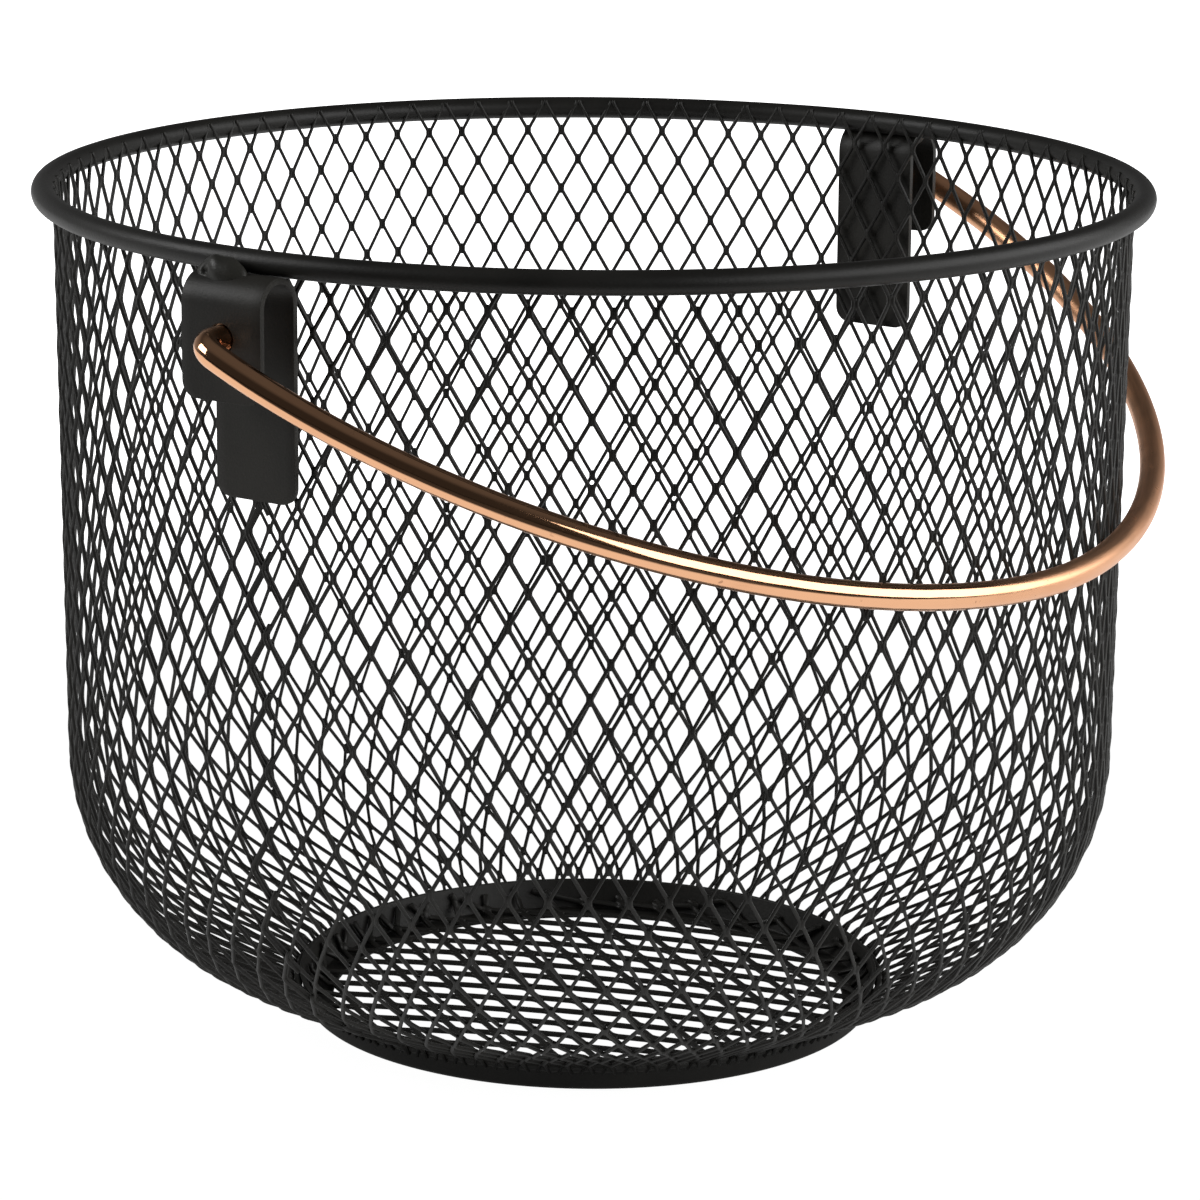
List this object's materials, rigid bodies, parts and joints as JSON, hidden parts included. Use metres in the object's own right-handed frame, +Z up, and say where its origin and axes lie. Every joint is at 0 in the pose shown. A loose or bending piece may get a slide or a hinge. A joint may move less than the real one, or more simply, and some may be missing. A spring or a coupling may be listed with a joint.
{
  "type": "wire basket",
  "caption": "Round open basket of black expanded metal on a rim wire and a base ring, with a bowed wire handle that swings in strap brackets at its sides.",
  "frame": {"origin": "centre of the basket on the surface that it stands on", "axes": "+Z up; X along the handle's pivot line, from the left bracket to the right one; the handle rests towards -Y"},
  "size_m": [0.2752, 0.2408, 0.1851],
  "materials": {
    "wire_black": "satin black powder coat on round wire and pressed ring",
    "mesh_black": "satin black powder coat on expanded metal",
    "strap_black": "satin black powder coat, slightly grained, on steel strap",
    "copper": "bright copper plating on steel wire, with small brown blemishes"
  },
  "bodies": {
    "basket": {"rim_ring": "wire_black", "wall_mesh": "mesh_black", "base_ring": "wire_black", "base_mesh": "mesh_black", "bracket_left": "strap_black", "bracket_right": "strap_black", "weld_left": "wire_black", "weld_right": "wire_black"},
    "handle": {"handle": "copper"}
  },
  "joints": [
    {"name": "handle_swing", "type": "hinge", "parent": "basket", "child": "handle", "pos_m": [0, 0, 0.1688], "axis": [-1, 0, 0], "range_deg": [0, 230]}
  ]
}
